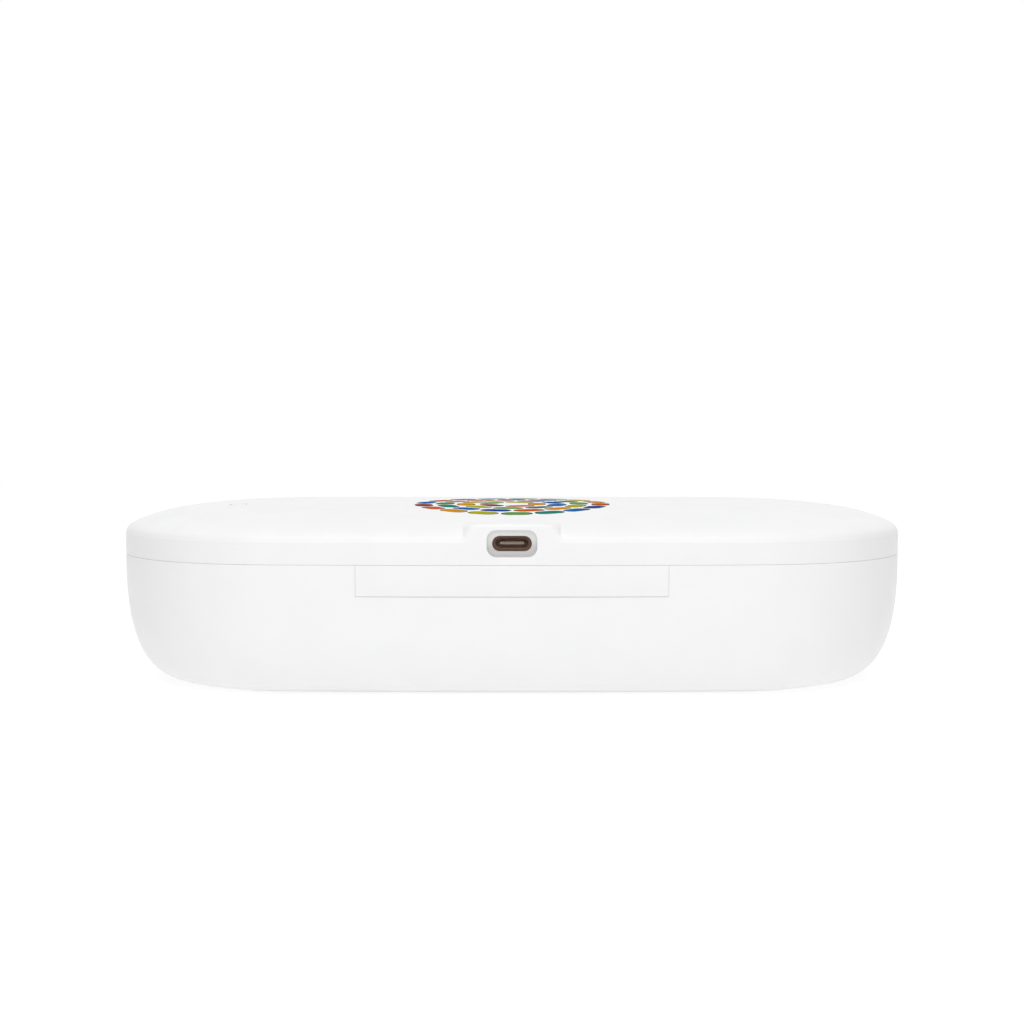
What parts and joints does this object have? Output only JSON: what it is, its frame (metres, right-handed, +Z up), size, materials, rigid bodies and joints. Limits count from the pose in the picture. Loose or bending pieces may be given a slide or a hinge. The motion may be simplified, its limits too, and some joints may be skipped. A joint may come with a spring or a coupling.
{
  "type": "phone sanitizer box",
  "caption": "Pebble-shaped white ultraviolet sanitizer box for a phone, with a hinged lid, mirrored tray, lamps in the lid, a power button and a rear USB-C socket.",
  "frame": {"origin": "under the middle of the closed box, on the surface that its feet stand on", "axes": "+X to the side that carries the power button, +Y to the rear with the hinge and the socket, +Z up"},
  "size_m": [0.212, 0.119, 0.0483],
  "materials": {
    "white_shell": "satin gloss moulded white",
    "tray_mirror": "vacuum metallised",
    "liner_silver": "satin metallised",
    "silicone": "matte",
    "foot_rubber": "matte",
    "steel": "bright",
    "quartz": "clear",
    "board": "solder mask",
    "chip": "matte black",
    "socket": "dark bronze",
    "lamp": "gold-edged ceramic",
    "gold": "plated",
    "flex": "polyimide"
  },
  "bodies": {
    "base": {"lower_case": "white_shell", "chamber_tray": "tray_mirror", "phone_rests": "silicone", "rim_seal": "silicone", "catch_plates": "steel", "rubber_feet": "foot_rubber", "tray_screws": "steel"},
    "lid": {"lid_cover": "white_shell", "hinge_block": "white_shell", "hinge_pins": "steel", "hinge_screws": "steel", "lid_liner": "liner_silver", "liner_screws": "steel", "lid_magnets": "steel", "uv_windows": "quartz", "uv_led_board": "board", "uv_leds": "lamp", "led_board_screws": "steel", "main_board": "board", "board_components": "chip", "board_screws": "steel", "usb_shell": "socket", "usb_tongue": "socket", "usb_contacts": "gold", "switch_board": "board", "tact_switch": "chip", "switch_flex": "flex", "led_flex": "flex"},
    "power_button": {"power_button": "white_shell"}
  },
  "joints": [
    {"name": "lid_hinge", "type": "hinge", "parent": "base", "child": "lid", "pos_m": [0, 0.0574, 0.0315], "axis": [-1, 0, 0], "range_deg": [0, 105]},
    {"name": "power_button_press", "type": "slide", "parent": "lid", "child": "power_button", "axis": [0, 0, -1], "range_m": [0, 0.0003], "stiffness_N_per_m": 1500}
  ]
}
